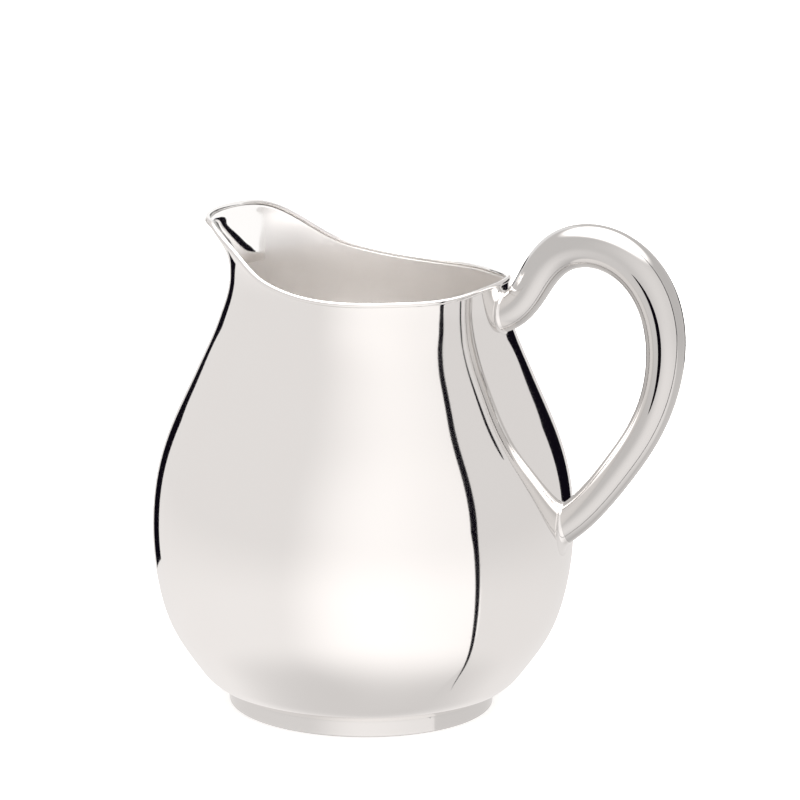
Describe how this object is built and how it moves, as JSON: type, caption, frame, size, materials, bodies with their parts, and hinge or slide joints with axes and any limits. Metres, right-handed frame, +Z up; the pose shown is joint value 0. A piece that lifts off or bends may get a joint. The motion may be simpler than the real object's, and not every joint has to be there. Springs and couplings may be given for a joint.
{
  "type": "cream jug",
  "caption": "Small round-bellied polished silver cream jug with a swept-up pouring lip, a wire-edged mouth, a hollow loop handle and a low ring foot.",
  "frame": {"origin": "centre of the plane that the ring foot rests on, on the axis of the round body", "axes": "+Z up along the axis of the body, +X toward the handle, -X toward the pouring lip; the XZ plane is the plane of symmetry"},
  "size_m": [0.0986, 0.0772, 0.0919],
  "materials": {
    "body_silver": "polished",
    "wire_silver": "polished",
    "foot_silver": "polished",
    "handle_silver": "polished",
    "silver_solder": "polished"
  },
  "bodies": {
    "root": {"body_shell": "body_silver", "mouth_wire": "wire_silver", "foot_ring": "foot_silver", "foot_solder": "silver_solder", "handle_left_half": "handle_silver", "handle_right_half": "handle_silver", "upper_handle_solder": "silver_solder", "lower_handle_solder": "silver_solder"}
  },
  "joints": []
}
